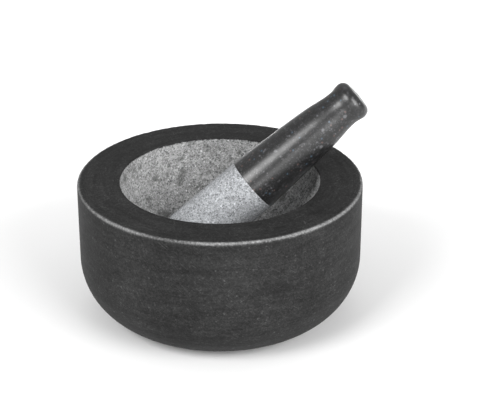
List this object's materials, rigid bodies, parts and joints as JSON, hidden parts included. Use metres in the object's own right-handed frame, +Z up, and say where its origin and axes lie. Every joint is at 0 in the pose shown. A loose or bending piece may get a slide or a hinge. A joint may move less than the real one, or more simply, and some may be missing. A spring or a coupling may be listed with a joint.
{
  "type": "molcajete",
  "caption": "Turned granite mortar with a flat rim, round bowl and flat foot, and a granite pestle with a rough head and a polished waisted handle.",
  "frame": {"origin": "middle of the mortar's flat foot", "axes": "+Z up along the mortar's turning axis, the pestle's handle leans towards +X"},
  "size_m": [0.2035, 0.2, 0.165],
  "materials": {
    "honed_granite": "honed dark on the outside and rim, left rough and light grey in the bowl",
    "polished_granite": "polished black handle, grinding head left rough and light grey"
  },
  "bodies": {
    "mortar": {"mortar": "honed_granite"},
    "pestle": {"pestle": "polished_granite"}
  },
  "joints": [
    {"name": "pestle_lift", "type": "slide", "parent": "mortar", "child": "pestle", "axis": [0.7588, 0.1461, 0.6347], "range_m": [0, 0.2]}
  ]
}
